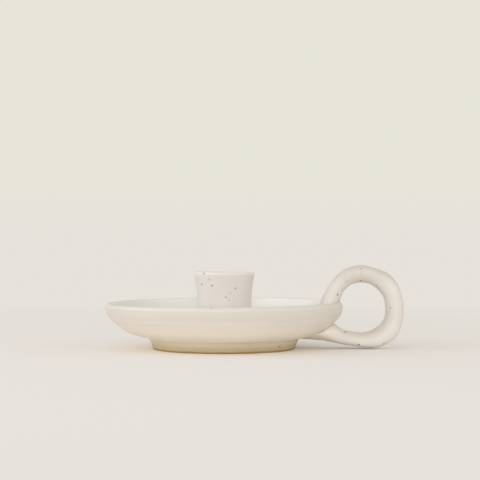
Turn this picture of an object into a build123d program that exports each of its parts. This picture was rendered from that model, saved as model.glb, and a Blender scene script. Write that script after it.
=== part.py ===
from build123d import *
import math
import os

# A stoneware chamberstick, in millimetres. The origin is on the dish's axis where the foot ring stands.
# X runs out towards the finger loop, Y away from the viewer and Z up.

# Dish: thrown, with its foot ring trimmed from the same clay
dish_width = 140.0  # across the lip at its widest
rim_height = 27.4  # from the table to the top of the lip
lip_thick = 4.6  # the lip is rounded over this whole thickness
foot_width = 83.0  # across the foot ring on the table
foot_height = 6.0  # from the table to where the belly starts
foot_spread = 2.2  # the ring's side leans out by this much on the way up
foot_ring_wide = 6.0
foot_recess = 3.4  # hollow inside the ring
foot_edge_round = 0.9
recess_round = 1.6
floor_thick = 6.4
floor_flat_width = 76.0  # level floor of the basin

# Each pair is a share of the way out and a share of the way up between an outline's two ends
belly_shares = ((0.47, 0.205), (0.795, 0.525), (0.93, 0.73))
bowl_shares = ((0.57, 0.21), (0.87, 0.60))
belly_start_slope_share = 0.25  # rise of the belly for each unit of its run, at the foot

# Candle cup: thrown apart and set on the middle of the floor
candle_width = 22.0  # a dinner candle
candle_clear = 0.6  # all round the candle
cup_wall = 4.2  # round the bore, where the outside is straight
cup_mouth_spread = 2.4  # the mouth stands out from the straight wall by this much
cup_height = 45.1  # from the table to the top of its lip
cup_lip_thick = 3.2
cup_lip_height = 2.6  # upright band under the lip's top
cup_lip_round = 1.0  # outer edge of the lip
cup_mouth_round = 1.5  # inner edge of the lip
cup_straight_height = 18.5  # straight wall above the basin's floor
cup_base_thick = 3.8
mouth_flare_height = 5.0  # the bore opens out over this height, under the lip's band
flare_shares = ((0.2, 0.37), (0.66, 0.8))

# Seam of soft clay pressed round the foot of the cup
cup_seam_size = 3.0

# Finger loop: a pulled strap that turns from the rim round to the underside of the dish
finger_hole = 28.0  # across the opening for the finger
strap_thick = 10.5
strap_width = 15.5
loop_offset = 12.2  # the loop's centre stands out from the widest of the dish by this much
loop_clear = 0.5  # under the loop's lowest section, so that the dish stands on its foot ring alone
strap_rise = 1.9  # the strap's middle line leaves the lip at this height above it
strap_embed = 2.2  # the strap's middle presses into the wall by this much before it is cut to fit
slip_thick = 0.05  # layer of slip between the strap and the dish
section_squareness = 2.5  # 2 is an oval, more is squarer
section_points = 12
section_steps = 2  # sections for each one that the tables below give
loop_end_turn = -90.0  # degrees round the loop's centre, where the tail begins

# Round the loop, from the rim over the top: the middle line's radius, the thickness and the width
loop_radius_shares = (1.02, 1.02, 1.04, 1.03, 0.99, 0.985, 0.96, 0.94, 0.985, 1.03, 1.02, 1.01)
loop_thick_shares = (0.99, 0.89, 0.94, 0.99, 0.97, 1.1, 1.03, 1.01, 1.03, 1.08, 1.0, 0.85)
loop_width_shares = (1.14, 1.02, 0.98, 0.97, 0.97, 0.98, 1.0, 1.0, 1.0, 1.0, 1.02, 1.04)

# Down the inside of the basin: share of the bowl's curve, thickness above the wall and width
tongue_shares = ((0.6, 0.12, 0.42), (0.5, 0.3, 0.76), (0.32, 0.55, 1.0), (0.1, 0.82, 1.18))

# Between the loop and the dish: share of the loop's offset, underside as a share of the foot's height,
# thickness and width
approach_shares = ((0.33, 0.48, 0.71, 1.08), (-0.14, 0.73, 0.68, 1.15))

# Under the belly: share of the belly's curve, underside as a share of the foot's height, and width
tail_shares = ((0.58, 0.87, 1.2), (0.42, 0.91, 1.16), (0.22, 0.93, 1.0), (0.06, 0.94, 0.72))

# Worked out from the sizes above
dish_radius = dish_width / 2
lip_radius = lip_thick / 2
lip_height = rim_height - lip_radius
foot_radius = foot_width / 2
neck_radius = foot_radius + foot_spread
floor_top = foot_recess + floor_thick
floor_radius = floor_flat_width / 2
bore_radius = candle_width / 2 + candle_clear
cup_radius = bore_radius + cup_wall
mouth_radius = cup_radius + cup_mouth_spread
lip_band_bottom = cup_height - cup_lip_height
bore_bottom = floor_top + cup_base_thick
bore_top = lip_band_bottom - mouth_flare_height
loop_radius = (finger_hole + strap_thick) / 2
loop_x = dish_radius + loop_offset
loop_z = loop_clear + strap_thick * loop_thick_shares[-1] / 2 + loop_radius * loop_radius_shares[-1]
strap_start_z = rim_height + strap_rise
loop_start_turn = 180 - math.degrees(math.asin((strap_start_z - loop_z) / (loop_radius * loop_radius_shares[0])))

up = (0, 1)
down = (0, -1)
inward = (-1, 0)


def between(start, end, shares):
    """The point that lies at a share of the way out and of the way up between two others."""
    return (start[0] + shares[0] * (end[0] - start[0]), start[1] + shares[1] * (end[1] - start[1]))


def revolved(*edges):
    """A solid of revolution about Z from the edges of half its outline, drawn as radius and height."""
    return revolve(Plane.XZ * make_face(Wire(list(edges))), Axis.Z)


def belly_curve():
    """The outside of the dish, from the top of the foot ring to the widest of the lip."""
    start = (neck_radius, foot_height)
    end = (dish_radius, lip_height)
    middle = [between(start, end, pair) for pair in belly_shares]
    return Spline(start, *middle, end, tangents=((1, belly_start_slope_share), up))


def bowl_curve():
    """The inside of the basin, from the inner edge of the lip to the level floor."""
    start = (dish_radius - lip_thick, lip_height)
    end = (floor_radius, floor_top)
    middle = [between(end, start, pair) for pair in reversed(bowl_shares)]
    return Spline(start, *middle, end, tangents=(down, inward))


def foot_curve():
    """The underside, from the axis across the recess and round the foot ring."""
    ring_inside = foot_radius - foot_ring_wide
    recess = ((0, foot_recess), (ring_inside, foot_recess))
    ring = ((ring_inside, 0), (foot_radius, 0), (neck_radius, foot_height))
    return FilletPolyline(*recess, *ring, radius=[recess_round, foot_edge_round, foot_edge_round])


def make_dish():
    """A saucer with a rounded lip, a level floor and a foot ring."""
    lip_middle = dish_radius - lip_radius
    lip = ThreePointArc((dish_radius, lip_height), (lip_middle, rim_height), (dish_radius - lip_thick, lip_height))
    floor = Line((floor_radius, floor_top), (0, floor_top))
    axis = Line((0, floor_top), (0, foot_recess))
    return revolved(*foot_curve().edges(), belly_curve(), lip, bowl_curve(), floor, axis)


def make_candle_cup():
    """A flared socket with a blind bore for the candle."""
    straight_top = (cup_radius, floor_top + cup_straight_height)
    inside_radius = mouth_radius - cup_lip_thick
    band = ((mouth_radius, lip_band_bottom), (mouth_radius, cup_height))
    inner_band = ((inside_radius, cup_height), (inside_radius, lip_band_bottom))
    lip = FilletPolyline(*band, *inner_band, radius=[cup_lip_round, cup_mouth_round])
    middle = [between(straight_top, band[0], pair) for pair in flare_shares]
    return revolved(
        Line((0, floor_top), (cup_radius, floor_top)),
        Line((cup_radius, floor_top), straight_top),
        Spline(straight_top, *middle, band[0], tangents=(up, up)),
        *lip.edges(),
        Spline(inner_band[1], (bore_radius, bore_top), tangents=(down, down)),
        Line((bore_radius, bore_top), (bore_radius, bore_bottom)),
        Line((bore_radius, bore_bottom), (0, bore_bottom)),
        Line((0, bore_bottom), (0, floor_top)),
    )


def make_cup_seam():
    """A hollow-faced ring of clay in the corner between the cup and the floor."""
    wide = cup_radius + cup_seam_size
    high = floor_top + cup_seam_size
    return revolved(
        Line((cup_radius, floor_top), (wide, floor_top)),
        RadiusArc((wide, floor_top), (cup_radius, high), cup_seam_size),
        Line((cup_radius, high), (cup_radius, floor_top)),
    )


def tongue_stations():
    """Middle points, thicknesses and widths of the strap inside the basin, from its tip up to the lip."""
    bowl = bowl_curve()
    stations = []
    for place, thick_share, width_share in tongue_shares:
        wall = bowl @ place
        along = bowl % place
        proud = strap_thick * thick_share
        shift = (proud - strap_embed) / 2
        middle = (wall.X + along.Y * shift, wall.Y - along.X * shift)
        stations.append((middle, proud + strap_embed, strap_width * width_share))
    return stations


def round_stations():
    """Middle points, thicknesses and widths of the strap round the loop, from the rim over the top."""
    steps = len(loop_radius_shares) - 1
    stations = []
    for step, radius_share in enumerate(loop_radius_shares):
        turn = math.radians(loop_start_turn + (loop_end_turn - loop_start_turn) * step / steps)
        reach = loop_radius * radius_share
        middle = (loop_x + reach * math.cos(turn), loop_z + reach * math.sin(turn))
        stations.append((middle, strap_thick * loop_thick_shares[step], strap_width * loop_width_shares[step]))
    return stations


def tail_stations():
    """Middle points, thicknesses and widths of the strap from the loop along the underside of the dish."""
    belly = belly_curve()
    stations = []
    for out_share, under_share, thick_share, width_share in approach_shares:
        thick = strap_thick * thick_share
        middle = (dish_radius + loop_offset * out_share, foot_height * under_share + thick / 2)
        stations.append((middle, thick, strap_width * width_share))
    for place, under_share, width_share in tail_shares:
        wall = belly @ place
        under = foot_height * under_share
        top = wall.Y + strap_embed
        stations.append(((wall.X, (top + under) / 2), top - under, strap_width * width_share))
    return stations


def strap_section(middle, along, thick, width):
    """One squared oval across the strap, square to the direction in which the strap runs."""
    plane = Plane(origin=(middle[0], 0, middle[1]), x_dir=(0, 1, 0), z_dir=(along[0], 0, along[1]))
    power = 2 / section_squareness
    dots = []
    for count in range(section_points):
        turn = math.pi / 2 + 2 * math.pi * count / section_points
        across = math.copysign(abs(math.cos(turn)) ** power, math.cos(turn)) * width / 2
        through = math.copysign(abs(math.sin(turn)) ** power, math.sin(turn)) * thick / 2
        dots.append((across, through))
    return plane * make_face(Spline(*dots, periodic=True))


def eased(values, share):
    """The value at a share of the way from the second to the third of four, on a smooth curve."""
    first, second, third, fourth = values
    bend = 2 * first - 5 * second + 4 * third - fourth
    twist = 3 * (second - third) + fourth - first
    return second + ((third - first) * share + bend * share**2 + twist * share**3) / 2


def closer_stations(stations):
    """The same run of stations with more of them, on smooth curves through the given ones."""
    rows = [(*middle, thick, width) for middle, thick, width in stations]
    rows = [rows[0], *rows, rows[-1]]
    closer = []
    for count in range(len(stations) - 1):
        for step in range(section_steps):
            four = zip(*rows[count:count + 4])
            x, z, thick, width = (eased(values, step / section_steps) for values in four)
            closer.append(((x, z), thick, width))
    return closer + [stations[-1]]


def make_strap():
    """The whole pulled strap before its ends are cut to fit the dish."""
    stations = closer_stations(tongue_stations() + round_stations() + tail_stations())
    last = len(stations) - 1
    sections = []
    for count, (middle, thick, width) in enumerate(stations):
        before = stations[max(count - section_steps, 0)][0]
        after = stations[min(count + section_steps, last)][0]
        along = (after[0] - before[0], after[1] - before[1])
        sections.append(strap_section(middle, along, thick, width))
    return loft(sections)


def make_finger_loop(dish):
    """The strap with its ends cut to fit over the lip, down the basin's wall and along the belly."""
    seat = offset(dish, slip_thick)
    return (make_strap() - seat).solids().sort_by(SortBy.VOLUME)[-1]


dish = make_dish()
nodes = {
    "dish": dish,
    "candle_cup": make_candle_cup(),
    "cup_seam": make_cup_seam(),
    "finger_loop": make_finger_loop(dish),
}

os.makedirs("parts", exist_ok=True)
for name, shape in nodes.items():
    export_step(shape, f"parts/{name}.step")
    print(name, len(shape.solids()), round(shape.volume), shape.bounding_box())
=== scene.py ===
import math

import bpy
import numpy as np
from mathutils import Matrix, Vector, noise
from mathutils.bvhtree import BVHTree


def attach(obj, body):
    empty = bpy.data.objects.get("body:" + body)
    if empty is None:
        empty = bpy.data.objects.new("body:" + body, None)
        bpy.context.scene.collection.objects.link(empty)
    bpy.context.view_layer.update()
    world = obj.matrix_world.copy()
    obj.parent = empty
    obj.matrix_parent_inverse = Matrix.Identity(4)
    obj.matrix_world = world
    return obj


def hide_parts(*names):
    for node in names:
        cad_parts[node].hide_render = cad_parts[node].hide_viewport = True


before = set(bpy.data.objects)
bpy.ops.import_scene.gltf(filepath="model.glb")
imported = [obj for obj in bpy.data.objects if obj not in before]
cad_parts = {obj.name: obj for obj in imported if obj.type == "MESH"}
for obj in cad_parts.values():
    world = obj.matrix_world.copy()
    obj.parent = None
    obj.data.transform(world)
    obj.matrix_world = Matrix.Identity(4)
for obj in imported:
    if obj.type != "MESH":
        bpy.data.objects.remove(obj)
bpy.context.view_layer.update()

# Sizes are in millimetres unless a name says otherwise. The dish's axis is Z and the loop lies along X.
MM = 0.001

# Dish. The shares give points on its curves, each as a share of the way out and of the way up.
dish_radius = 70.0
rim_height = 27.4
lip_radius = 2.3
foot_radius = 41.5
foot_height = 6.0
neck_radius = 43.7
foot_ring_wide = 6.0
foot_recess = 3.4
foot_edge_round = 0.9
neck_round = 3.4
recess_round = 1.6
floor_top = 9.8
floor_radius = 38.0
belly_shares = ((0.47, 0.205), (0.795, 0.525), (0.93, 0.73))
bowl_shares = ((0.57, 0.21), (0.87, 0.60))

# Candle cup and the seam of clay round its foot
cup_radius = 15.8
mouth_radius = 18.2
cup_height = 45.1
cup_lip_thick = 3.2
cup_lip_height = 2.6
cup_lip_round = 0.7
cup_lip_lean = 0.5
cup_mouth_round = 1.5
cup_straight_height = 18.5
cup_base_thick = 3.8
bore_radius = 11.6
bore_edge_round = 1.2
mouth_flare_height = 5.0
throat_ease_out = 0.5
throat_ease_up = 1.2
flare_shares = ((0.2, 0.37), (0.66, 0.8))
seam_size = 3.0
seam_embed = 0.6

# Finger loop: a strap pulled from a lump of clay. The tongue's rows are a place along the basin's wall, a
# thickness and a width. The approach's are places out and up, a thickness and a width, and the tail's are a
# place along the belly, the height of its underside and a width. All are shares.
finger_hole = 28.0
strap_thick = 10.5
strap_width = 15.5
loop_offset = 12.2
loop_clear = 0.5
strap_rise = 1.9
strap_embed = 2.2
loop_end_turn = -90.0
loop_radius_shares = (1.02, 1.02, 1.04, 1.03, 0.99, 0.985, 0.96, 0.94, 0.985, 1.04, 1.028, 1.01)
loop_thick_shares = (0.99, 0.89, 0.94, 0.99, 0.97, 1.1, 1.03, 1.01, 1.03, 1.118, 1.03, 0.85)
loop_width_shares = (1.14, 1.02, 0.98, 0.97, 0.97, 0.98, 1.0, 1.0, 1.0, 1.0, 1.02, 1.04)
tongue_shares = ((0.68, -0.1, 0.3), (0.6, 0.12, 0.5), (0.5, 0.3, 0.76), (0.32, 0.55, 1.0), (0.1, 0.82, 1.18))
approach_shares = ((0.33, 0.31, 0.8, 1.08), (-0.14, 0.49, 0.82, 1.15))
tail_shares = ((0.58, 0.69, 1.45), (0.42, 0.78, 1.6), (0.22, 0.86, 1.5), (0.06, 0.93, 1.2), (0.0, 1.05, 0.8))

# The strap was pulled between thumb and finger, so it is squarer outside, rounder inside, and has a faint
# groove where the thumb ran. Its tail was thumbed out thin at its sides, so that it runs into the belly.
outer_squareness = 2.8
inner_squareness = 2.4
widest_place = 0.15  # how far out of the section's middle the strap is widest
groove_depth = 0.35
groove_half_width = 3.6
groove_fade_stations = 5
tail_squareness = 1.5
tail_widest_place = -0.35
tail_stations = 5
tail_thinned_by = 0.5  # the share of those stations by which the sides are as thin as they get

# The pot was thrown and pressed by hand, so it is a little uneven. Its ridges are throwing rings, and its
# dents are where hands pressed it.
rim_tilt = 0.4  # the rim stands higher by this much on the loop's side
belly_fullness = 0.7  # the belly swells by this much on the loop's side
rim_flattening = 0.6  # the rim was pressed in by this much when the loop was joined to it
floor_ridge_pitch = 5.2
floor_ridge_rise = 0.11
floor_ridge_fade_in = 8.0
floor_ridge_fade_out = 14.0
floor_margin = 0.3  # skin within this much of the floor's height is floor
flare_fullness = 0.35  # the cup's flare swells by this much on the loop's side
wall_margin = 1.0  # skin farther in than this from the cup's radius isn't outside wall
wall_ridge_pitch = 3.1
wall_ridge_depth = 0.008
mouth_tilt = 0.12
mouth_tilt_turn = 2.6
seam_presses = ((0.14, 11, 0.7), (0.08, 17, 0.0))  # depth, number round the cup, and turn of the finger marks
dent_depth = 0.16
strap_dent_wide = 9.0
dish_dent_wide = 26.0

# How far the smear reaches from the corner between strap and dish: most by the foot, little at the lip
smear_heights = (7.0, 12.0, 17.0, 24.0)
smear_reaches = (12.0, 9.5, 5.5, 2.6)
smear_overlap = 1.1  # skins that all but touch move by their gap times this
least_closing = 0.5  # skins that run side by side count as closing at least this fast
smear_halvings = 24

# How finely the pieces are drawn
curve_steps = 24
lip_steps = 16
corner_steps = 6
flare_steps = 12
throat_steps = 8
seam_steps = 10
neck_steps = 6  # the neck's rounding takes the place of this many steps of the belly
dish_point_gap = 0.6
cup_point_gap = 0.45
dish_sides = 340
dish_crowding = 0.6
cup_sides = 240
station_steps = 12
section_points = 112

# Worked out from the sizes above
lip_height = rim_height - lip_radius
lip_band_bottom = cup_height - cup_lip_height
bore_bottom = floor_top + cup_base_thick
bore_top = lip_band_bottom - mouth_flare_height
loop_radius = (finger_hole + strap_thick) / 2
loop_x = dish_radius + loop_offset
loop_z = loop_clear + strap_thick * loop_thick_shares[-1] / 2 + loop_radius * loop_radius_shares[-1]
start_rise = (rim_height + strap_rise - loop_z) / (loop_radius * loop_radius_shares[0])
loop_start_turn = 180 - math.degrees(math.asin(start_rise))


def eased(points, steps):
    """A smooth run through the given points, with a number of steps from each one to the next."""
    given = np.array(points, float)
    ends = np.vstack([given[:1], given, given[-1:]])
    shares = (np.arange(steps) / steps)[:, None]
    run = []
    for first, second, third, fourth in zip(ends, ends[1:], ends[2:], ends[3:]):
        bend = 2 * first - 5 * second + 4 * third - fourth
        twist = 3 * (second - third) + fourth - first
        run.append(second + ((third - first) * shares + bend * shares**2 + twist * shares**3) / 2)
    return np.vstack([*run, given[-1:]])


def between(start, end, pairs):
    """Points at shares of the way out and of the way up between two others."""
    start, end = np.array(start), np.array(end)
    return [tuple(start + (end - start) * pair) for pair in pairs]


def arc(middle, radius, start_turn, end_turn, steps):
    """Points on an arc, with its turns in degrees."""
    turns = np.radians(np.linspace(start_turn, end_turn, steps + 1))
    return np.column_stack([middle[0] + radius * np.cos(turns), middle[1] + radius * np.sin(turns)])


def rounded(corners, radii):
    """A run of straight lines with its inner corners rounded."""
    corners = np.array(corners, float)
    run = [corners[0]]
    for before, corner, after, radius in zip(corners, corners[1:], corners[2:], radii):
        back = (before - corner) / np.linalg.norm(before - corner)
        ahead = (after - corner) / np.linalg.norm(after - corner)
        reach = radius / math.tan(math.acos(np.clip(back @ ahead, -1, 1)) / 2)
        for share in np.linspace(0, 1, corner_steps + 1):
            run.append(corner + back * reach * (1 - share) ** 2 + ahead * reach * share**2)
    run.append(corners[-1])
    return np.array(run)


def spaced(run, gap):
    """The same outline with its points an even gap apart."""
    lengths = np.concatenate([[0], np.cumsum(np.linalg.norm(np.diff(run, axis=0), axis=1))])
    places = np.linspace(0, lengths[-1], max(2, round(lengths[-1] / gap) + 1))
    return np.column_stack([np.interp(places, lengths, run[:, axis]) for axis in (0, 1)])


def at_share(run, share):
    """The point at a share of a run's length, and the run's direction there."""
    steps = np.linalg.norm(np.diff(run, axis=0), axis=1)
    lengths = np.concatenate([[0], np.cumsum(steps)])
    place = share * lengths[-1]
    here = [np.interp(place, lengths, run[:, axis]) for axis in (0, 1)]
    index = min(int(np.searchsorted(lengths, place, side="right")) - 1, len(run) - 2)
    along = (run[index + 1] - run[index]) / steps[index]
    return (*here, *along)


def belly_run():
    """The outside of the dish, from the neck over the foot ring to the lip, as radius and height."""
    start = (neck_radius, foot_height)
    end = (dish_radius, lip_height)
    return eased([start, *between(start, end, belly_shares), end], curve_steps)


def bowl_run():
    """The inside of the basin, from the inner edge of the lip to the level floor."""
    start = (dish_radius - 2 * lip_radius, lip_height)
    end = (floor_radius, floor_top)
    return eased([start, *reversed(between(end, start, bowl_shares)), end], curve_steps)


def dish_outline():
    """The whole outline of the dish, from the middle of its floor over the lip and foot to the axis below."""
    lip = arc((dish_radius - lip_radius, lip_height), lip_radius, 180, 0, lip_steps)
    ring_inside = foot_radius - foot_ring_wide
    belly = belly_run()[::-1]
    corners = (
        belly[-1 - neck_steps],
        (neck_radius, foot_height),
        (foot_radius, 0),
        (ring_inside, 0),
        (ring_inside, foot_recess),
        (0, foot_recess),
    )
    foot = rounded(corners, (neck_round, foot_edge_round, foot_edge_round, recess_round))
    run = np.vstack([[(0, floor_top)], bowl_run()[::-1], lip, belly[1:-1 - neck_steps], foot])
    return spaced(run, dish_point_gap)


def cup_outline():
    """The outline of the candle cup, from the middle of its underside out, up and down into the bore."""
    base = (cup_radius, floor_top)
    straight_top = (cup_radius, floor_top + cup_straight_height)
    band_low = (mouth_radius - cup_lip_lean, lip_band_bottom)
    flare = eased([base, straight_top, *between(straight_top, band_low, flare_shares), band_low], flare_steps)
    inside = mouth_radius - cup_lip_thick
    corners = (band_low, (mouth_radius, cup_height), (inside, cup_height), (inside, lip_band_bottom))
    lip = rounded(corners, (cup_lip_round, cup_mouth_round))
    throat_ease = (bore_radius + throat_ease_out, bore_top + throat_ease_up)
    throat = eased([(inside, lip_band_bottom), throat_ease, (bore_radius, bore_top)], throat_steps)
    corners = ((bore_radius, bore_top), (bore_radius, bore_bottom), (0, bore_bottom))
    bore = rounded(corners, (bore_edge_round,))
    return spaced(np.vstack([[(0, floor_top)], flare, lip[1:], throat[1:], bore[1:]]), cup_point_gap)


def seam_outline():
    """The hollow-faced outline of the clay pressed into the corner round the cup, closed behind its face."""
    outer, inner = cup_radius + seam_size, cup_radius - seam_embed
    high, low = floor_top + seam_size, floor_top - seam_embed
    face = arc((outer, high), seam_size, 270, 180, seam_steps)
    return np.vstack([face, [(inner, high), (inner, low), (outer, low)]])


def dish_wobble(turn, radius, height):
    """Throwing rings on the floor, a rim that isn't quite level and a belly fuller at one side."""
    up_share = np.clip((height - foot_height) / (rim_height - foot_height), 0, 1)
    outside = np.clip((radius - floor_radius) / (dish_radius - floor_radius), 0, 1)
    toward_loop = np.clip(np.cos(turn), 0, 1) ** 2
    swell = belly_fullness * toward_loop * np.sin(math.pi * up_share) * outside
    radius = radius + swell - rim_flattening * toward_loop * up_share**4 * outside
    spiral = np.sin(2 * math.pi * radius / floor_ridge_pitch - turn)
    fading_out = np.clip((floor_radius + floor_ridge_fade_out - radius) / floor_ridge_fade_out, 0, 1)
    fading_in = np.clip((radius - cup_radius) / floor_ridge_fade_in, 0, 1)
    on_floor = fading_out * fading_in * (height > floor_top - floor_margin)
    height = height + rim_tilt * np.cos(turn) * up_share**2 + floor_ridge_rise * spiral * on_floor
    return radius, height


def cup_wobble(turn, radius, height):
    """Fine throwing rings up the wall, and a mouth that isn't quite round or level."""
    up_share = np.clip((height - floor_top) / (cup_height - floor_top), 0, 1)
    rings = wall_ridge_depth * np.sin(2 * math.pi * height / wall_ridge_pitch - turn) * (radius > bore_radius)
    outside = radius > cup_radius - wall_margin
    swell = flare_fullness * np.clip(np.cos(turn), 0, 1) * np.sin(math.pi * up_share) * outside
    return radius + rings + swell, height + mouth_tilt * np.cos(turn + mouth_tilt_turn) * up_share**2


def seam_wobble(turn, radius, height):
    """Finger marks round the seam."""
    press = sum(depth * np.sin(number * turn + shift) for depth, number, shift in seam_presses)
    face = np.clip((radius - cup_radius) / seam_size, 0, 1)
    return radius + press * face, height


def make_piece(name, points, faces):
    """A smooth mesh, with its points given in millimetres."""
    mesh = bpy.data.meshes.new(name)
    mesh.from_pydata((points * MM).tolist(), [], faces)
    mesh.polygons.foreach_set("use_smooth", [True] * len(mesh.polygons))
    mesh.update()
    piece = bpy.data.objects.new(name, mesh)
    bpy.context.scene.collection.objects.link(piece)
    return piece


def turned(name, outline, sides, crowding, wobble):
    """A piece turned round Z from its outline. Crowding draws its sides closer where they face the loop.

    The faces look outward for an outline that runs as the cup's does. The dish's runs the other way round, so
    its faces look into the clay.
    """
    ring = bool(outline[0][0] and outline[-1][0])
    turns = np.linspace(0, 2 * math.pi, sides, endpoint=False)
    turns = turns - crowding * np.sin(turns)
    rows = outline if ring else outline[1:-1]
    radii, heights = np.array(rows).T
    grid_turn, grid_radius = np.meshgrid(turns, radii)
    grid_height = np.repeat(heights[:, None], sides, axis=1)
    grid_radius, grid_height = wobble(grid_turn, grid_radius, grid_height)
    grid_x, grid_y = grid_radius * np.cos(grid_turn), grid_radius * np.sin(grid_turn)
    points = np.stack([grid_x, grid_y, grid_height], axis=-1).reshape(-1, 3)
    count = len(rows)
    faces = []
    for row in range(count if ring else count - 1):
        low, high = row * sides, (row + 1) % count * sides
        for side in range(sides):
            after = (side + 1) % sides
            faces.append((low + side, low + after, high + after, high + side))
    if not ring:
        start, end = len(points), len(points) + 1
        points = np.vstack([points, [(0, 0, outline[0][1]), (0, 0, outline[-1][1])]])
        last = (count - 1) * sides
        faces += [(start, (side + 1) % sides, side) for side in range(sides)]
        faces += [(end, last + side, last + (side + 1) % sides) for side in range(sides)]
    return make_piece(name, points, faces)


def band_faces(low, high, sides):
    """The faces that join one ring of points to the next, from the number of each ring's first point."""
    faces = []
    for side in range(sides):
        after = (side + 1) % sides
        faces.append((low + side, high + side, high + after, low + after))
    return faces


def strap_stations():
    """Middle points, thicknesses and widths of the strap, from its tip in the basin round to its tail."""
    rows = []
    bowl = bowl_run()
    belly = belly_run()
    for place, thick_share, width_share in tongue_shares:
        x, z, along_x, along_z = at_share(bowl, place)
        proud = strap_thick * thick_share
        shift = (proud - strap_embed) / 2
        x, z = x + along_z * shift, z - along_x * shift
        rows.append((x, z, proud + strap_embed, strap_width * width_share))
    steps = len(loop_radius_shares) - 1
    for step, radius_share in enumerate(loop_radius_shares):
        turn = math.radians(loop_start_turn + (loop_end_turn - loop_start_turn) * step / steps)
        reach = loop_radius * radius_share
        x, z = loop_x + reach * math.cos(turn), loop_z + reach * math.sin(turn)
        rows.append((x, z, strap_thick * loop_thick_shares[step], strap_width * loop_width_shares[step]))
    for out_share, under_share, thick_share, width_share in approach_shares:
        x = dish_radius + loop_offset * out_share
        thick = strap_thick * thick_share
        rows.append((x, foot_height * under_share + thick / 2, thick, strap_width * width_share))
    for place, under_share, width_share in tail_shares:
        x, z, _, _ = at_share(belly, place)
        under = foot_height * under_share
        top = z + strap_embed
        rows.append((x, (top + under) / 2, top - under, strap_width * width_share))
    return rows


def strap_section(thinning):
    """Shares of half the width and half the thickness round each section, and how much of it is groove."""
    turns = np.linspace(0, 2 * math.pi, section_points, endpoint=False)[None, :]
    outer = np.sin(turns) >= 0
    squareness = np.where(outer, outer_squareness, inner_squareness)
    power = 2 / (squareness + thinning * (tail_squareness - squareness))
    widest = widest_place + thinning * (tail_widest_place - widest_place)
    rise = np.where(outer, 1 - widest, 1 + widest)
    across = np.sign(np.cos(turns)) * abs(np.cos(turns)) ** power
    through = widest + np.sign(np.sin(turns)) * abs(np.sin(turns)) ** power * rise
    return across, through, np.clip(2 * np.sin(turns), 0, 1)


def make_strap(name):
    """The pulled strap, swept through its stations from the basin round to the belly.

    The faces of its sides look into the clay.
    """
    rows = eased(strap_stations(), station_steps)
    last = len(rows) - 1
    count = np.arange(last + 1)
    ahead = rows[np.minimum(count + station_steps, last), :2]
    behind = rows[np.maximum(count - station_steps, 0), :2]
    along = (ahead - behind) / np.linalg.norm(ahead - behind, axis=1)[:, None]
    x, z, thick, width = rows.T[:, :, None]
    down_tail = (count - last) / (tail_stations * station_steps) + 1
    thinning = (np.clip(down_tail, 0, tail_thinned_by) / tail_thinned_by)[:, None]
    across_share, through_share, groove_share = strap_section(thinning)
    across = across_share * width / 2
    ends = np.clip(np.minimum(count, last - count) / (groove_fade_stations * station_steps), 0, 1)[:, None]
    groove = groove_depth * ends * groove_share * np.exp(-((across / groove_half_width) ** 2))
    through = through_share * thick / 2 - groove
    x, z = x - along[:, 1:] * through, z + along[:, :1] * through
    points = np.stack([x, across, z], axis=-1).reshape(-1, 3)
    faces = []
    for row in range(last):
        faces += band_faces(row * section_points, (row + 1) * section_points, section_points)
    faces.append(list(range(section_points)))
    faces.append(list(range(last * section_points, (last + 1) * section_points))[::-1])
    return make_piece(name, points, faces)


def tree_of(piece):
    """A search tree over a piece's skin."""
    mesh = piece.data
    return BVHTree.FromPolygons([v.co for v in mesh.vertices], [p.vertices for p in mesh.polygons])


def move_skin(piece, moved):
    """Moves a piece's points to their new places."""
    for vertex, place in zip(piece.data.vertices, moved):
        vertex.co = place
    piece.data.update()


def dent(piece, width):
    """Moves the skin in and out by a little, over patches of about the given width."""
    moved = []
    for vertex in piece.data.vertices:
        amount = noise.noise(vertex.co / (width * MM)) * dent_depth * MM
        place = vertex.co + vertex.normal * amount
        place.z = max(place.z, 0)  # the table keeps it from going lower
        moved.append(place)
    move_skin(piece, moved)


def smear_rise(gap, facing, reach):
    """How far the skin moves at a gap from the other piece, for the hollow curve of clay in a corner.

    The roots of the move and of the gap that is left add up to the root of the reach, which gives that curve.
    The move is found by halving. Skins near enough to meet move by a little more than their gap.
    """
    meeting = gap / max(1 - facing, least_closing)
    if 4 * meeting <= reach:
        return meeting * smear_overlap
    low, high = 0.0, meeting
    for _ in range(smear_halvings):
        rise = (low + high) / 2
        if math.sqrt(rise) + math.sqrt(max(gap + rise * facing, 0)) < math.sqrt(reach):
            low = rise
        else:
            high = rise
    return low


def flow_onto(piece, tree):
    """Moves the skin of a piece where it nears another, for soft clay smeared into the corner between them.

    It takes faces to look outward. Those of the dish and the strap look into the clay, so nearly all of the
    skin that moves is hidden by the other piece, and it moves inward. What shows of it is a shallow pit in
    the basin's floor beside the strap, and no smear.
    """
    moved = []
    for vertex in piece.data.vertices:
        reach = float(np.interp(vertex.co.z / MM, smear_heights, smear_reaches)) * MM
        found, normal, _, gap = tree.find_nearest(vertex.co, reach)
        rise = 0.0
        if found is not None and (vertex.co - found).dot(normal) > 0:
            rise = smear_rise(gap, vertex.normal.dot(normal), reach)
        moved.append(vertex.co + vertex.normal * rise)
    move_skin(piece, moved)


dish = turned("thrown_dish", dish_outline(), dish_sides, dish_crowding, dish_wobble)
cup = turned("flared_candle_cup", cup_outline(), cup_sides, 0.0, cup_wobble)
seam = turned("pressed_cup_seam", seam_outline(), cup_sides, 0.0, seam_wobble)
loop = make_strap("pulled_finger_loop")

dent(loop, strap_dent_wide)
dent(dish, dish_dent_wide)
dish_tree = tree_of(dish)
loop_tree = tree_of(loop)
flow_onto(dish, loop_tree)
flow_onto(loop, dish_tree)

pieces = {"dish": dish, "candle_cup": cup, "cup_seam": seam, "finger_loop": loop}
for node, piece in pieces.items():
    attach(piece, "root")
    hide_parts(node)


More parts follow.
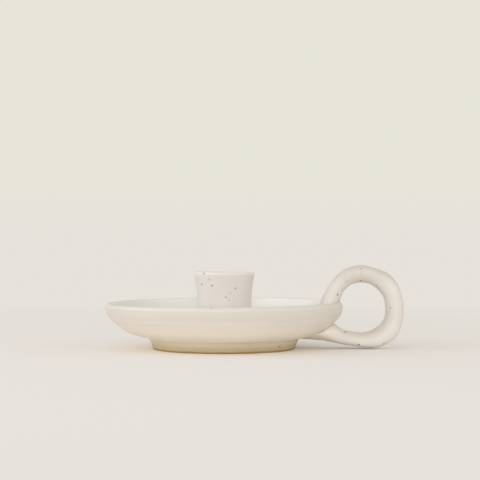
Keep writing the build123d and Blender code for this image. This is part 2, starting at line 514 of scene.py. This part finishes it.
# Camera, level and a little above the cup, as the photograph was taken
camera_place = (9.42, -842.3, 63.9)
frame_pixels = 480
focal_pixels = 1430
sensor_width = 36.0
nearest_seen_m = 0.05
farthest_seen_m = 20

camera_data = bpy.data.cameras.new("camera")
camera_data.sensor_fit = "HORIZONTAL"
camera_data.sensor_width = sensor_width
camera_data.lens = sensor_width * focal_pixels / frame_pixels
camera_data.clip_start = nearest_seen_m
camera_data.clip_end = farthest_seen_m
camera = bpy.data.objects.new("camera", camera_data)
camera.location = Vector(camera_place) * MM
camera.rotation_euler = (math.radians(90), 0, 0)
bpy.context.scene.collection.objects.link(camera)
bpy.context.scene.camera = camera

# Iron specks that the photograph shows: its column and row in pixels, the speck's width and how dark it is
speck_pixels = (
    (203.4, 273.0, 1.3, 0.75),
    (209.0, 279.0, 1.25, 0.42),
    (201.2, 284.0, 1.15, 0.7),
    (211.5, 285.0, 1.45, 0.46),
    (235.0, 288.0, 1.1, 0.6),
    (225.5, 297.0, 1.2, 0.5),
    (228.5, 299.5, 0.9, 0.36),
    (229.5, 292.7, 1.0, 0.28),
    (210.6, 307.3, 1.2, 0.5),
    (337.0, 294.2, 1.25, 0.7),
    (360.5, 268.4, 1.5, 0.28),
    (360.5, 273.0, 1.3, 0.2),
    (360.3, 280.2, 1.2, 0.9),
    (346.0, 281.0, 1.3, 0.24),
    (376.3, 285.0, 1.05, 0.6),
    (379.0, 287.4, 0.95, 0.32),
    (390.0, 307.2, 1.25, 0.42),
    (344.4, 331.3, 1.4, 0.95),
    (358.3, 344.2, 1.25, 0.8),
    (383.0, 343.0, 1.15, 0.46),
    (318.0, 313.0, 0.9, 0.15),
    (315.0, 325.8, 1.1, 0.22),
    (279.4, 346.0, 1.3, 0.7),
)


def placed_specks():
    """Where the line of sight through each speck's pixel meets the pot, by piece."""
    trees = {name: tree_of(piece) for name, piece in pieces.items()}
    found = {name: [] for name in pieces}
    middle = frame_pixels / 2
    for column, row, width, strength in speck_pixels:
        across, up = (column + 0.5 - middle) / focal_pixels, (middle - row - 0.5) / focal_pixels
        sight = Vector((across, 1, up)).normalized()
        hits = []
        for name, tree in trees.items():
            place, _, _, distance = tree.ray_cast(camera.location, sight)
            if place is not None:
                hits.append((distance, name, place))
        if hits:
            _, name, place = min(hits, key=lambda hit: hit[0])
            found[name].append((place, width, strength))
    return found


def colour(text):
    """A linear colour from the sRGB hex value that it is written in."""
    parts = [int(text[place:place + 2], 16) / 255 for place in (1, 3, 5)]
    return (*[part / 12.92 if part <= 0.04045 else ((part + 0.055) / 1.055) ** 2.4 for part in parts], 1.0)


def add_node(tree, kind, links=None, **settings):
    """Adds one node, with its settings by name and its inputs as values or as other nodes' outputs."""
    node = tree.nodes.new(kind)
    for name, value in settings.items():
        setattr(node, name, value)
    for socket, value in (links or {}).items():
        if isinstance(value, bpy.types.NodeSocket):
            tree.links.new(value, node.inputs[socket])
        else:
            node.inputs[socket].default_value = value
    return node


# Settings that many nodes share
smooth = {"interpolation_type": "SMOOTHSTEP"}
tinted = {"data_type": "RGBA"}
times = {"operation": "MULTIPLY"}
larger = {"operation": "MAXIMUM"}

# The satin glaze. A pair is where a layer starts and where it is full: heights over the table, places along
# X, or how far the skin faces up or outward.
cloud_size = 22.0
# Painted bounce light from the floor: the glaze is drawn whiter lower down, between these heights.
painted_bounce_heights = (21.0, 8.0)
painted_bounce_glaze = "#F6EEE1"
# Painted light in the basin: skin that faces up or inward, below the rim, is drawn lighter and cooler.
basin_painted_light_glaze = "#ECE8E3"
basin_light_facing_up = (0.0, 0.5)
basin_light_facing_out = (0.0, -0.5)
basin_light_heights = (26.4, 24.4)
# Painted light in the shaded corner over the foot
neck_painted_light_heights = (10.5, 7.2)
neck_painted_light_share = 0.9
neck_painted_light_glaze = "#FFFBF3"
# Painted light on the strap's tail, where it lies in shade under the belly
tail_painted_light_places = (72.0, 57.0)
tail_painted_light_heights = (15.0, 10.0)
tail_painted_light_share = 0.65
tail_painted_light_glaze = "#FAF0E2"
satin_roughness = (0.36, 0.48)
glaze_index = 1.5
grain_size = 0.8  # a real glaze is uneven over about half of this, which would be too fine to show
grain_depth = 0.05
grain_strength = 0.12

# Iron specks. Those that the photograph doesn't show lie one to a cell, with the largest one's radius and the
# soft edge as shares of a cell's size.
speck_iron = "#5A463A"
speck_cell = 3.6
speck_largest = 0.15
speck_soft_edge = 0.05
speck_strengths = (0.2, 0.75)
unseen_facing_back = (-0.12, 0.0)
shown_speck_edges = (0.62, 0.3)  # where a shown speck starts and where it is full, as shares of its width

# The wiped foot. The glaze's edge wavers up and down. The clay's grain is drawn coarser than it is, to show.
waver_size = 16.0
waver_height = 1.2
wiped_heights = (6.7, 4.9)
wiped_share = 0.56
rubbed_heights = (5.6, 1.5)
rubbed_share = 0.36
# The ring the pot stands on: unglazed clay, drawn dark as painted contact shadow.
contact_shade_heights = (0.9, 0.1)
clay_grain_size = 0.7
clay_pale = "#C5B38E"
clay_deep = "#BBA780"
unglazed_ring_and_contact_shade = "#AE8B58"
clay_roughness = 0.75


def clouded_glaze(tree, place, thin, thick):
    """The glaze's colour, which lies thicker and thinner in soft clouds about 2 cm wide, and those clouds."""
    links = {"Vector": place, "Scale": 1 / (cloud_size * MM), "Detail": 3.0, "Roughness": 0.5}
    clouds = add_node(tree, "ShaderNodeTexNoise", links).outputs["Fac"]
    links = {0: clouds, 6: colour(thin), 7: colour(thick)}
    return add_node(tree, "ShaderNodeMix", links, **tinted).outputs[2], clouds


def painted_bounce_low(tree, skin, height, share):
    """Painted bounce light: the glaze is drawn whiter the lower it lies, as low on the belly and in the
    basin.
    """
    start, full = painted_bounce_heights
    links = {"Value": height, "From Min": start * MM, "From Max": full * MM, "To Max": share}
    run = add_node(tree, "ShaderNodeMapRange", links, **smooth).outputs[0]
    return add_node(tree, "ShaderNodeMix", {0: run, 6: skin, 7: colour(painted_bounce_glaze)}, **tinted).outputs[2]


def painted_shade_and_highlight(tree, skin, height, shade_and_highlight_heights, shade_and_highlight_glaze):
    """Painted shade on the dish's lip and upper belly and the loop's top, and a painted highlight on the
    cup's lip.
    """
    low, full_low, full_high, high = shade_and_highlight_heights
    links = {"Value": height, "From Min": low * MM, "From Max": full_low * MM}
    rising = add_node(tree, "ShaderNodeMapRange", links, **smooth).outputs[0]
    links = {"Value": height, "From Min": high * MM, "From Max": full_high * MM}
    falling = add_node(tree, "ShaderNodeMapRange", links, **smooth).outputs[0]
    in_band = add_node(tree, "ShaderNodeMath", {0: rising, 1: falling}, **times).outputs[0]
    return add_node(tree, "ShaderNodeMix", {0: in_band, 6: skin, 7: colour(shade_and_highlight_glaze)}, **tinted).outputs[2]


def painted_light_at_tail(tree, skin, axes):
    """Painted light: the strap's tail, shaded in the corner under the belly where it runs in, is drawn
    lighter.
    """
    start, full = tail_painted_light_places
    links = {"Value": axes["X"], "From Min": start * MM, "From Max": full * MM, "To Max": tail_painted_light_share}
    near_dish = add_node(tree, "ShaderNodeMapRange", links, **smooth).outputs[0]
    start, full = tail_painted_light_heights
    links = {"Value": axes["Z"], "From Min": start * MM, "From Max": full * MM}
    low_down = add_node(tree, "ShaderNodeMapRange", links, **smooth).outputs[0]
    corner = add_node(tree, "ShaderNodeMath", {0: near_dish, 1: low_down}, **times).outputs[0]
    links = {0: corner, 6: skin, 7: colour(tail_painted_light_glaze)}
    return add_node(tree, "ShaderNodeMix", links, **tinted).outputs[2]


def painted_light_in_basin(tree, skin, place, normal, height):
    """Painted light: skin in the basin that faces up or inward, below the rim, is drawn lighter and cooler.
    """
    upward = add_node(tree, "ShaderNodeSeparateXYZ", {"Vector": normal}).outputs["Z"]
    start, full = basin_light_facing_up
    links = {"Value": upward, "From Min": start, "From Max": full}
    basin_lit = add_node(tree, "ShaderNodeMapRange", links, **smooth).outputs[0]
    start, full = basin_light_heights
    links = {"Value": height, "From Min": start * MM, "From Max": full * MM}
    under_rim = add_node(tree, "ShaderNodeMapRange", links, **smooth).outputs[0]
    basin_lit = add_node(tree, "ShaderNodeMath", {0: basin_lit, 1: under_rim}, **times).outputs[0]
    level = add_node(tree, "ShaderNodeVectorMath", {0: place, 1: (1, 1, 0)}, **times).outputs["Vector"]
    outward = add_node(tree, "ShaderNodeVectorMath", {0: level}, operation="NORMALIZE").outputs["Vector"]
    facing = add_node(tree, "ShaderNodeVectorMath", {0: normal, 1: outward}, operation="DOT_PRODUCT")
    start, full = basin_light_facing_out
    links = {"Value": facing.outputs["Value"], "From Min": start, "From Max": full}
    inner_wall = add_node(tree, "ShaderNodeMapRange", links, **smooth).outputs[0]
    basin_lit = add_node(tree, "ShaderNodeMath", {0: basin_lit, 1: inner_wall}, **larger).outputs[0]
    return add_node(tree, "ShaderNodeMix", {0: basin_lit, 6: skin, 7: colour(basin_painted_light_glaze)}, **tinted).outputs[2]


def painted_light_at_neck(tree, skin, height):
    """Painted light: the shaded corner over the foot is drawn whiter."""
    start, full = neck_painted_light_heights
    links = {"Value": height, "From Min": start * MM, "From Max": full * MM, "To Max": neck_painted_light_share}
    neck_lit = add_node(tree, "ShaderNodeMapRange", links, **smooth).outputs[0]
    links = {0: neck_lit, 6: skin, 7: colour(neck_painted_light_glaze)}
    return add_node(tree, "ShaderNodeMix", links, **tinted).outputs[2]


def unseen_specks(tree, place, normal, share):
    """Iron specks at random, about a millimetre wide at most, on the side away from the photograph."""
    links = {"Vector": place, "Scale": 1 / (speck_cell * MM), "Randomness": 1.0}
    cells = add_node(tree, "ShaderNodeTexVoronoi", links)
    drawn = add_node(tree, "ShaderNodeSeparateColor", {"Color": cells.outputs["Color"]}).outputs
    links = {"Value": drawn[0], "From Min": 1 - share, "From Max": 1.0, "To Max": speck_largest}
    size = add_node(tree, "ShaderNodeMapRange", links).outputs[0]
    links = {0: size, 1: cells.outputs["Distance"]}
    inside = add_node(tree, "ShaderNodeMath", links, operation="SUBTRACT").outputs[0]
    links = {"Value": drawn[1], "To Min": speck_strengths[0], "To Max": speck_strengths[1]}
    strength = add_node(tree, "ShaderNodeMapRange", links).outputs[0]
    links = {"Value": inside, "From Min": 0.0, "From Max": speck_soft_edge, "To Max": strength}
    spot = add_node(tree, "ShaderNodeMapRange", links).outputs[0]
    facing = add_node(tree, "ShaderNodeSeparateXYZ", {"Vector": normal}).outputs["Y"]
    links = {"Value": facing, "From Min": unseen_facing_back[0], "From Max": unseen_facing_back[1]}
    behind = add_node(tree, "ShaderNodeMapRange", links).outputs[0]
    return add_node(tree, "ShaderNodeMath", {0: spot, 1: behind}, **times).outputs[0]


def shown_specks(tree, place, iron, specks):
    """Adds the specks that the photograph shows, each one a soft-edged spot."""
    for spot_place, width, strength in specks:
        offset = add_node(tree, "ShaderNodeVectorMath", {0: place, 1: spot_place}, operation="DISTANCE")
        start, full = [share * width * MM for share in shown_speck_edges]
        links = {"Value": offset.outputs["Value"], "From Min": start, "From Max": full, "To Max": strength}
        spot = add_node(tree, "ShaderNodeMapRange", links, **smooth).outputs[0]
        iron = add_node(tree, "ShaderNodeMath", {0: iron, 1: spot}, **larger).outputs[0]
    return iron


def wiped_foot(tree, skin, rough, place, height, iron):
    """Round the foot the glaze was wiped thin, so that the warm dull clay shows more and more through it.

    The ring that the pot stands on is unglazed clay, drawn dark as painted contact shadow.
    """
    links = {"Vector": place, "Scale": 1 / (waver_size * MM)}
    waver = add_node(tree, "ShaderNodeTexNoise", links).outputs["Fac"]
    links = {0: waver, 1: -waver_height * MM, 2: height}
    edge = add_node(tree, "ShaderNodeMath", links, operation="MULTIPLY_ADD").outputs[0]
    start, full = wiped_heights
    links = {"Value": edge, "From Min": start * MM, "From Max": full * MM, "To Max": wiped_share}
    wiped = add_node(tree, "ShaderNodeMapRange", links, **smooth).outputs[0]
    start, full = rubbed_heights
    links = {"Value": edge, "From Min": start * MM, "From Max": full * MM, "To Max": rubbed_share}
    rubbed = add_node(tree, "ShaderNodeMapRange", links, **smooth).outputs[0]
    wiped = add_node(tree, "ShaderNodeMath", {0: wiped, 1: rubbed}, operation="ADD").outputs[0]
    links = {"Vector": place, "Scale": 1 / (clay_grain_size * MM), "Detail": 4.0}
    clay_grain = add_node(tree, "ShaderNodeTexNoise", links).outputs["Fac"]
    links = {0: clay_grain, 6: colour(clay_deep), 7: colour(clay_pale)}
    clay = add_node(tree, "ShaderNodeMix", links, **tinted).outputs[2]
    clay = add_node(tree, "ShaderNodeMix", {0: iron, 6: clay, 7: colour(speck_iron)}, **tinted).outputs[2]
    skin = add_node(tree, "ShaderNodeMix", {0: wiped, 6: skin, 7: clay}, **tinted).outputs[2]
    start, full = contact_shade_heights
    links = {"Value": edge, "From Min": start * MM, "From Max": full * MM}
    ring_and_contact_shade = add_node(tree, "ShaderNodeMapRange", links, **smooth).outputs[0]
    skin = add_node(tree, "ShaderNodeMix", {0: ring_and_contact_shade, 6: skin, 7: colour(unglazed_ring_and_contact_shade)}, **tinted).outputs[2]
    links = {0: wiped, 2: rough, 3: clay_roughness}
    rough = add_node(tree, "ShaderNodeMix", links, data_type="FLOAT").outputs[0]
    return skin, rough


def glazed_stoneware(name, node, specks, thin, thick, painted_bounce_share, shade_and_highlight_heights, shade_and_highlight_glaze, speck_share):
    """Stoneware dipped in a satin off-white glaze and fired.

    To the eye it is milky and faintly clouded, with broad soft highlights. Iron in the clay bleeds through it
    in small brown specks.
    """
    material = bpy.data.materials.new(name)
    material.use_nodes = True
    tree = material.node_tree
    tree.nodes.clear()
    coordinates = add_node(tree, "ShaderNodeTexCoord").outputs
    place, normal = coordinates["Object"], coordinates["Normal"]
    axes = add_node(tree, "ShaderNodeSeparateXYZ", {"Vector": place}).outputs
    height = axes["Z"]

    skin, clouds = clouded_glaze(tree, place, thin, thick)
    skin = painted_bounce_low(tree, skin, height, painted_bounce_share)
    skin = painted_shade_and_highlight(tree, skin, height, shade_and_highlight_heights, shade_and_highlight_glaze)
    if node == "finger_loop":
        skin = painted_light_at_tail(tree, skin, axes)
    if node == "dish":
        skin = painted_light_in_basin(tree, skin, place, normal, height)
        skin = painted_light_at_neck(tree, skin, height)
    iron = unseen_specks(tree, place, normal, speck_share)
    iron = shown_specks(tree, place, iron, specks)
    skin = add_node(tree, "ShaderNodeMix", {0: iron, 6: skin, 7: colour(speck_iron)}, **tinted).outputs[2]

    links = {"Value": clouds, "To Min": satin_roughness[0], "To Max": satin_roughness[1]}
    rough = add_node(tree, "ShaderNodeMapRange", links).outputs[0]
    if node == "dish":
        skin, rough = wiped_foot(tree, skin, rough, place, height, iron)

    links = {"Vector": place, "Scale": 1 / (grain_size * MM), "Detail": 2.0}
    grain = add_node(tree, "ShaderNodeTexNoise", links).outputs["Fac"]
    links = {"Height": grain, "Strength": grain_strength, "Distance": grain_depth * MM}
    bump = add_node(tree, "ShaderNodeBump", links).outputs["Normal"]
    links = {"Base Color": skin, "Roughness": rough, "Normal": bump, "IOR": glaze_index}
    shader = add_node(tree, "ShaderNodeBsdfPrincipled", links)
    add_node(tree, "ShaderNodeOutputMaterial", {"Surface": shader.outputs["BSDF"]})
    return material


# Each piece's glaze: its colour where it lies thin and thick, how much whiter it is drawn low down as painted
# bounce light, a band near its top, painted shade on dish and loop and a painted highlight on the cup, and
# the share of cells that hold a speck. The cup's seam was dipped with the cup. Cup and loop have more specks
# than the dish.
cup_glaze = {
    "thin": "#DBD3CB",
    "thick": "#E1DBD4",
    "painted_bounce_share": 0.2,
    # The cup's band is a painted highlight on its lip.
    "shade_and_highlight_heights": (42.8, 44.4, 60, 70),
    "shade_and_highlight_glaze": "#E6E0DA",
    "speck_share": 0.5,
}
glazes = {
    "dish": {
        "thin": "#DFD7CC",
        "thick": "#E5DED5",
        "painted_bounce_share": 0.75,
        # The dish's band is painted shade on its lip and upper belly.
        "shade_and_highlight_heights": (18, 20.5, 24.5, 29),
        "shade_and_highlight_glaze": "#D9D1C6",
        "speck_share": 0.12,
    },
    "candle_cup": cup_glaze,
    "cup_seam": {**cup_glaze, "speck_share": 0.3},
    "finger_loop": {
        # The loop's colours are drawn darker than the dish's, as painted shade on its lit face: it is the
        # same glaze.
        "thin": "#DAD1C8",
        "thick": "#E0D9D0",
        "painted_bounce_share": 0.2,
        # The loop's band is painted shade on its top.
        "shade_and_highlight_heights": (36, 44, 80, 90),
        "shade_and_highlight_glaze": "#D3CBC0",
        "speck_share": 0.5,
    },
}

specks_by_piece = placed_specks()
for node, piece in pieces.items():
    material = glazed_stoneware(f"satin_dipped_glaze_{node}", node, specks_by_piece[node], **glazes[node])
    piece.data.materials.append(material)


# Studio: a pale paper floor, lit evenly. Far from the pot the camera sees plain colours, and no edge.
floor_rings = (90, 160, 260, 420, 700, 1100, 1800, 3000, 6000)
floor_sides = 96
fade_start = 130.0
fade_end = 620.0
near_share = 0.22  # how much of the plain colour shows close to the pot, which keeps its shadow light
floor_paper = "#FAF6F2"
painted_bounce_paper = "#FCF3E6"  # painted warm bounce light on the paper under the pot
painted_bounce_paper_radius = 50.0
painted_bounce_paper_end = 82.0
backdrop_low = "#E6E2DB"
backdrop_high = "#E7E5D9"
backdrop_rises = (0.0, 0.06)  # the slopes between which the backdrop turns from the low to the high colour
room_fill = 0.65
room_fill_tint = "#FFFBF4"


def make_floor():
    """A round sheet of paper, in rings."""
    turns = np.linspace(0, 2 * math.pi, floor_sides, endpoint=False)
    points = [(0, 0, 0)]
    for radius in floor_rings:
        points += [(radius * math.cos(turn), radius * math.sin(turn), 0) for turn in turns]
    faces = [(0, 1 + side, 1 + (side + 1) % floor_sides) for side in range(floor_sides)]
    for ring in range(len(floor_rings) - 1):
        faces += band_faces(1 + ring * floor_sides, 1 + (ring + 1) * floor_sides, floor_sides)
    return make_piece("paper_floor", np.array(points, float), faces)


def seen_plain(tree):
    """One for the rays that see the plain backdrop: those of the camera, of reflections and through glass."""
    rays = add_node(tree, "ShaderNodeLightPath").outputs
    seen = add_node(tree, "ShaderNodeMath", {0: rays["Is Camera Ray"], 1: rays["Is Glossy Ray"]}, **larger)
    links = {0: seen.outputs[0], 1: rays["Is Transmission Ray"]}
    return add_node(tree, "ShaderNodeMath", links, **larger).outputs[0]


def matt_paper(name):
    """Matt uncoated paper, pale and without any shine.

    It takes the pot's shadow near by, and fades to the backdrop's colour far off.
    """
    material = bpy.data.materials.new(name)
    material.use_nodes = True
    tree = material.node_tree
    tree.nodes.clear()
    place = add_node(tree, "ShaderNodeTexCoord").outputs["Object"]
    reach = add_node(tree, "ShaderNodeVectorMath", {0: place}, operation="LENGTH").outputs["Value"]
    links = {"Value": reach, "From Min": fade_start * MM, "From Max": fade_end * MM, "To Min": near_share}
    far = add_node(tree, "ShaderNodeMapRange", links, **smooth).outputs[0]
    share = add_node(tree, "ShaderNodeMath", {0: far, 1: seen_plain(tree)}, **times).outputs[0]
    # Painted warm bounce light on the paper under the pot, fading out away from it
    links = {"Value": reach, "From Min": painted_bounce_paper_end * MM, "From Max": painted_bounce_paper_radius * MM}
    warm = add_node(tree, "ShaderNodeMapRange", links, **smooth).outputs[0]
    links = {0: warm, 6: colour(floor_paper), 7: colour(painted_bounce_paper)}
    sheet = add_node(tree, "ShaderNodeMix", links, **tinted).outputs[2]
    paper = add_node(tree, "ShaderNodeBsdfDiffuse", {"Color": sheet}).outputs[0]
    plain = add_node(tree, "ShaderNodeEmission", {"Color": colour(backdrop_low), "Strength": 1.0}).outputs[0]
    mixed = add_node(tree, "ShaderNodeMixShader", {0: share, 1: paper, 2: plain}).outputs[0]
    add_node(tree, "ShaderNodeOutputMaterial", {"Surface": mixed})
    return material


def make_room():
    """Even light from all round, and behind it the backdrop that the camera and reflections see."""
    world = bpy.data.worlds.new("room")
    world.use_nodes = True
    tree = world.node_tree
    tree.nodes.clear()
    way = add_node(tree, "ShaderNodeTexCoord").outputs["Generated"]
    rise = add_node(tree, "ShaderNodeSeparateXYZ", {"Vector": way}).outputs["Z"]
    links = {"Value": rise, "From Min": backdrop_rises[0], "From Max": backdrop_rises[1]}
    share = add_node(tree, "ShaderNodeMapRange", links, **smooth).outputs[0]
    links = {0: share, 6: colour(backdrop_low), 7: colour(backdrop_high)}
    shown = add_node(tree, "ShaderNodeMix", links, **tinted).outputs[2]
    backdrop = add_node(tree, "ShaderNodeBackground", {"Color": shown, "Strength": 1.0}).outputs[0]
    links = {"Color": colour(room_fill_tint), "Strength": room_fill}
    fill = add_node(tree, "ShaderNodeBackground", links).outputs[0]
    mixed = add_node(tree, "ShaderNodeMixShader", {0: seen_plain(tree), 1: fill, 2: backdrop}).outputs[0]
    add_node(tree, "ShaderNodeOutputWorld", {"Surface": mixed})
    return world


# Soft square lights: name, place, width and power in watts. All point at the pot.
daylight = "#F3F8FF"
light_target = (20, 0, 20)
studio_lights = (
    ("window_left", (-1500, -200, 500), 1200, 7.9),
    ("window_front_left", (-1300, -1500, 800), 1200, 4.45),
    ("card_right", (1400, -700, 500), 1200, 4.1),
    ("card_low_front", (0, -1900, 110), 600, 13.4),
)


def add_light(name, place, width, power):
    """A soft square light that points at the pot."""
    data = bpy.data.lights.new(name, "AREA")
    data.shape = "SQUARE"
    data.size = width * MM
    data.energy = power
    data.color = colour(daylight)[:3]
    light = bpy.data.objects.new(name, data)
    light.location = Vector(place) * MM
    light.rotation_euler = (Vector(place) - Vector(light_target)).to_track_quat("Z", "Y").to_euler()
    bpy.context.scene.collection.objects.link(light)


paper_floor = make_floor()
paper_floor.data.materials.append(matt_paper("matt_uncoated_paper"))
bpy.context.scene.world = make_room()
for light in studio_lights:
    add_light(*light)
bpy.context.scene.view_settings.view_transform = "Standard"
